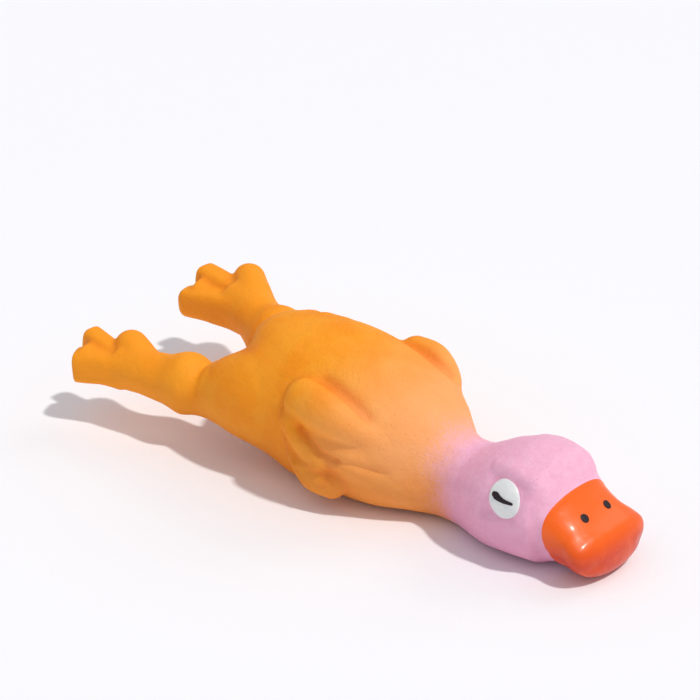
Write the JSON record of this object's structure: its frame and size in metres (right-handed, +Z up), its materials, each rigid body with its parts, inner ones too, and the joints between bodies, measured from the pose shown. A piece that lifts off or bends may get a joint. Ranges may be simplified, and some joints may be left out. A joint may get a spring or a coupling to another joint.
{
  "type": "squeaky rubber bird toy",
  "caption": "Stuffed latex squeaky toy shaped like a plucked duck lying on its belly, with a bending neck, legs and feet and a press-in back over a reed squeaker.",
  "frame": {"origin": "on the floor under the middle of the toy's outer box, lying on its belly", "axes": "+X from the feet to the bill, +Y to the bird's left, +Z up"},
  "size_m": [0.188, 0.075, 0.0433],
  "materials": {
    "body_latex": "matte airbrushed latex, fine pores",
    "patch_latex": "matte unpainted latex patch",
    "head_latex": "satin pink latex",
    "bill_latex": "glossy orange latex",
    "foot_latex": "matte deep orange latex",
    "eye_paint": "glossy white paint",
    "dark_paint": "glossy dark brown paint",
    "fibre": "white polyester fibre fill",
    "bladder_plastic": "milky soft polyethylene",
    "tube_plastic": "hard white styrene",
    "reed_film": "thin stiff film"
  },
  "bodies": {
    "torso": {"torso_skin": "body_latex", "belly_patch": "patch_latex", "torso_stuffing": "fibre", "squeaker_base": "bladder_plastic", "squeaker_bellows": "bladder_plastic", "reed_tube": "tube_plastic", "reed_wedge": "tube_plastic", "reed": "reed_film", "neck_flex": "body_latex", "left_hip_flex": "body_latex", "right_hip_flex": "body_latex"},
    "back": {"back_panel": "body_latex", "squeaker_crown": "bladder_plastic"},
    "neck": {"neck_skin": "head_latex", "head_flex": "head_latex"},
    "head": {"head_skin": "head_latex", "head_stuffing": "fibre", "bill_skin": "bill_latex", "left_eye_white": "eye_paint", "right_eye_white": "eye_paint", "left_pupil": "dark_paint", "right_pupil": "dark_paint", "left_nostril": "dark_paint", "right_nostril": "dark_paint"},
    "left_leg": {"left_leg_skin": "body_latex", "left_ankle_flex": "body_latex"},
    "right_leg": {"right_leg_skin": "body_latex", "right_ankle_flex": "body_latex"},
    "left_foot": {"left_foot": "foot_latex"},
    "right_foot": {"right_foot": "foot_latex"}
  },
  "joints": [
    {"name": "back_squeeze", "type": "slide", "parent": "torso", "child": "back", "axis": [0, 0, -1], "range_m": [0, 0.006], "stiffness_N_per_m": 300, "deforming": ["torso_stuffing", "squeaker_bellows"]},
    {"name": "neck_sway", "type": "hinge", "parent": "torso", "child": "neck", "pos_m": [0.038, 0, 0.0148], "axis": [0, 0, 1], "range_deg": [-18, 18], "stiffness_Nm_per_rad": 0.3, "deforming": ["neck_flex"]},
    {"name": "head_nod", "type": "hinge", "parent": "neck", "child": "head", "pos_m": [0.049, 0, 0.015], "axis": [0, -1, 0], "range_deg": [0, 22], "stiffness_Nm_per_rad": 0.3, "deforming": ["head_flex"]},
    {"name": "left_hip", "type": "hinge", "parent": "torso", "child": "left_leg", "pos_m": [-0.043, 0.0173, 0.0208], "axis": [0, 1, 0], "range_deg": [-8, 25], "stiffness_Nm_per_rad": 0.15, "deforming": ["left_hip_flex"]},
    {"name": "right_hip", "type": "hinge", "parent": "torso", "child": "right_leg", "pos_m": [-0.043, -0.0173, 0.019], "axis": [0, 1, 0], "range_deg": [-8, 25], "stiffness_Nm_per_rad": 0.15, "deforming": ["right_hip_flex"]},
    {"name": "left_ankle", "type": "hinge", "parent": "left_leg", "child": "left_foot", "pos_m": [-0.066, 0.0229, 0.0225], "axis": [0, 1, 0], "range_deg": [-20, 30], "stiffness_Nm_per_rad": 0.06, "deforming": ["left_ankle_flex"]},
    {"name": "right_ankle", "type": "hinge", "parent": "right_leg", "child": "right_foot", "pos_m": [-0.066, -0.0229, 0.0195], "axis": [0, 1, 0], "range_deg": [-20, 30], "stiffness_Nm_per_rad": 0.06, "deforming": ["right_ankle_flex"]}
  ]
}
